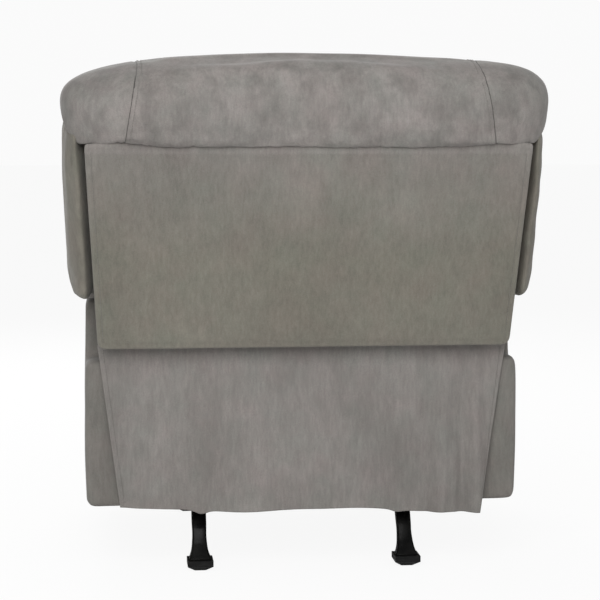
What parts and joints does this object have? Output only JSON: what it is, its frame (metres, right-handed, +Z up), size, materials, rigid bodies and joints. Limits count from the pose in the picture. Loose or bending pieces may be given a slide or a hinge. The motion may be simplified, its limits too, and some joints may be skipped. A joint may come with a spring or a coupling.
{
  "type": "rocker recliner",
  "caption": "Upholstered rocking armchair with a reclining back, a lever-raised folding footrest and a sprung steel rocker base.",
  "frame": {"origin": "centre of the overall box on the floor", "axes": "+Z up, the sitter faces -Y, the sitter's left is +X"},
  "size_m": [0.9653, 0.9693, 1.0543],
  "materials": {
    "microsuede": "napped taupe",
    "foam": "bare foam",
    "webbing": "woven strap",
    "black_steel": "gloss black",
    "zinc_steel": "zinc plated",
    "timber": "bare plywood",
    "lever_wood": "dark stained",
    "black_plastic": "moulded"
  },
  "bodies": {
    "base": {"base_rail_left": "black_steel", "base_rail_right": "black_steel", "rear_leg_left": "black_steel", "rear_leg_right": "black_steel", "front_leg_left": "black_steel", "front_leg_right": "black_steel", "base_cross_rail_front": "black_steel", "base_cross_rail_rear": "black_steel", "foot_glides": "black_plastic", "spring_base_brackets": "black_steel", "rocker_springs": "zinc_steel"},
    "chassis": {"rocker_cam_left": "black_steel", "rocker_cam_right": "black_steel", "cross_tube_front": "black_steel", "cross_tube_rear": "black_steel", "spring_top_brackets": "black_steel", "mechanism_plate_left": "black_steel", "mechanism_plate_right": "black_steel", "seat_side_rail_left": "timber", "seat_side_rail_right": "timber", "seat_front_rail": "timber", "seat_rear_rail": "timber", "seat_springs": "zinc_steel", "seat_deck": "foam", "seat_cushion": "microsuede", "arm_frame_left": "timber", "arm_frame_right": "timber", "arm_cover_left": "microsuede", "arm_cover_right": "microsuede", "arm_pad_left": "microsuede", "arm_pad_right": "microsuede", "arm_bolts": "zinc_steel", "pivot_studs": "zinc_steel", "rear_rail": "timber", "rear_flap": "microsuede", "lever_bezel": "black_plastic"},
    "lever": {"lever_handle": "lever_wood", "torque_tube": "zinc_steel"},
    "drive": {"drive_links": "zinc_steel"},
    "rear_link": {"footrest_rear_links": "zinc_steel"},
    "front_link": {"footrest_front_links": "zinc_steel"},
    "coupler": {"footrest_couplers": "zinc_steel"},
    "control_rod": {"footrest_control_rods": "zinc_steel"},
    "footrest": {"footrest_brackets": "zinc_steel", "footrest_board": "timber", "footrest_pad": "microsuede"},
    "back": {"back_stile_left": "timber", "back_stile_right": "timber", "back_top_rail": "timber", "back_bottom_rail": "timber", "back_brackets": "zinc_steel", "back_webbing": "webbing", "outside_back_panel": "microsuede", "headrest_roll": "microsuede", "headrest_side_left": "microsuede", "headrest_side_right": "microsuede", "wing_left": "microsuede", "wing_right": "microsuede", "lumbar_cushion": "microsuede", "upper_back_cushion": "microsuede"}
  },
  "joints": [
    {"name": "rock", "type": "hinge", "parent": "base", "child": "chassis", "pos_m": [0, 0, 0.14], "axis": [-1, 0, 0], "range_deg": [-6, 6], "stiffness_Nm_per_rad": 900, "deforming": ["rocker_springs"]},
    {"name": "recline", "type": "hinge", "parent": "chassis", "child": "back", "pos_m": [0, 0.165, 0.4], "axis": [-1, 0, 0], "range_deg": [0, 38]},
    {"name": "footrest_extend", "type": "hinge", "parent": "chassis", "child": "rear_link", "pos_m": [0, -0.32, 0.35], "axis": [-1, 0, 0], "range_deg": [0, 95]},
    {"name": "front_link_turn", "type": "hinge", "parent": "chassis", "child": "front_link", "pos_m": [0, -0.36277, 0.37778], "axis": [-1, 0, 0], "range_deg": [0, 95]},
    {"name": "lever_turn", "type": "hinge", "parent": "chassis", "child": "lever", "pos_m": [0, -0.12, 0.33], "axis": [-1, 0, 0], "range_deg": [0, 95]},
    {"name": "drive_turn", "type": "hinge", "parent": "lever", "child": "drive", "pos_m": [0, -0.10455, 0.28245], "axis": [-1, 0, 0], "range_deg": [-95, 0]},
    {"name": "coupler_turn", "type": "hinge", "parent": "rear_link", "child": "coupler", "pos_m": [0, -0.25047, 0.13601], "axis": [-1, 0, 0], "range_deg": [-95, 0]},
    {"name": "control_rod_turn", "type": "hinge", "parent": "front_link", "child": "control_rod", "pos_m": [0, -0.28088, 0.12575], "axis": [-1, 0, 0], "range_deg": [-95, 0]},
    {"name": "footrest_turn", "type": "hinge", "parent": "coupler", "child": "footrest", "pos_m": [0, -0.40311, 0.23514], "axis": [-1, 0, 0], "range_deg": [0, 95]}
  ],
  "couplings": [
    {"joint": "front_link_turn", "follows": "footrest_extend", "ratio": 1},
    {"joint": "lever_turn", "follows": "footrest_extend", "ratio": 1},
    {"joint": "drive_turn", "follows": "footrest_extend", "ratio": -1},
    {"joint": "coupler_turn", "follows": "footrest_extend", "ratio": -1},
    {"joint": "control_rod_turn", "follows": "footrest_extend", "ratio": -1},
    {"joint": "footrest_turn", "follows": "footrest_extend", "ratio": 1}
  ]
}
